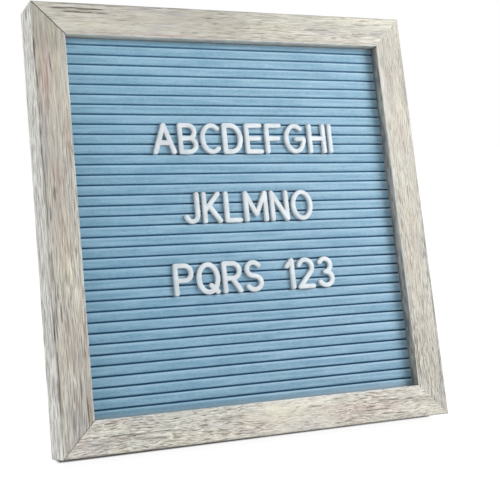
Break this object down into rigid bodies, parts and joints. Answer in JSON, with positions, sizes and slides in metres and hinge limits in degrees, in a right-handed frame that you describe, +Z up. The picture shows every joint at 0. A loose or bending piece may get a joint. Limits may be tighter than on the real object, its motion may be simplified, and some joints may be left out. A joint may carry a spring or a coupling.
{
  "type": "felt letter board",
  "caption": "Letter board of grooved blue felt in a whitewashed wooden frame, with push-in white letters, leaning back on a hinged wooden leg.",
  "frame": {"origin": "on the surface that it stands on, under the middle of the overall box", "axes": "+X to the viewer's right along the board's width, +Y from the board's front to its back, +Z up"},
  "size_m": [0.254, 0.1082, 0.261],
  "materials": {
    "whitewashed_wood": "weathered white wash over grey-brown grain, matt",
    "blue_felt": "short matted felt",
    "fibreboard": "raw ribbed fibreboard",
    "hardboard": "brown hardboard",
    "point_steel": "plain thin steel",
    "hanger_brass": "brassed sheet steel",
    "hinge_steel": "zinc-plated steel",
    "screw_brass": "brassed steel",
    "leg_wood": "whitewashed strip",
    "white_plastic": "satin moulded plastic"
  },
  "bodies": {
    "board": {"rail_left": "whitewashed_wood", "rail_right": "whitewashed_wood", "rail_top": "whitewashed_wood", "rail_bottom": "whitewashed_wood", "felt_cover": "blue_felt", "ribbed_core": "fibreboard", "backing_board": "hardboard", "backing_point_top_1": "point_steel", "backing_point_top_2": "point_steel", "backing_point_bottom_1": "point_steel", "backing_point_bottom_2": "point_steel", "backing_point_left_1": "point_steel", "backing_point_left_2": "point_steel", "backing_point_right_1": "point_steel", "backing_point_right_2": "point_steel", "corner_nail_bottom_left": "point_steel", "corner_nail_bottom_right": "point_steel", "corner_nail_top_left": "point_steel", "corner_nail_top_right": "point_steel", "sawtooth_hanger": "hanger_brass", "hanger_nail_left": "hanger_brass", "hanger_nail_right": "hanger_brass", "hinge_leaf_board": "hinge_steel", "hinge_pin": "hinge_steel", "board_screw_left": "screw_brass", "board_screw_right": "screw_brass", "letter_a": "white_plastic", "letter_b": "white_plastic", "letter_c": "white_plastic", "letter_d": "white_plastic", "letter_e": "white_plastic", "letter_f": "white_plastic", "letter_g": "white_plastic", "letter_h": "white_plastic", "letter_i": "white_plastic", "letter_j": "white_plastic", "letter_k": "white_plastic", "letter_l": "white_plastic", "letter_m": "white_plastic", "letter_n": "white_plastic", "letter_o": "white_plastic", "letter_p": "white_plastic", "letter_q": "white_plastic", "letter_r": "white_plastic", "letter_s": "white_plastic", "digit_1": "white_plastic", "digit_2": "white_plastic", "digit_3": "white_plastic"},
    "leg": {"easel_leg": "leg_wood", "hinge_leaf_leg": "hinge_steel", "leg_screw_left": "screw_brass", "leg_screw_right": "screw_brass"}
  },
  "joints": [
    {"name": "leg_hinge", "type": "hinge", "parent": "board", "child": "leg", "pos_m": [0, 0.01358, 0.164], "axis": [-1, 0, 0], "range_deg": [0, 26]}
  ]
}
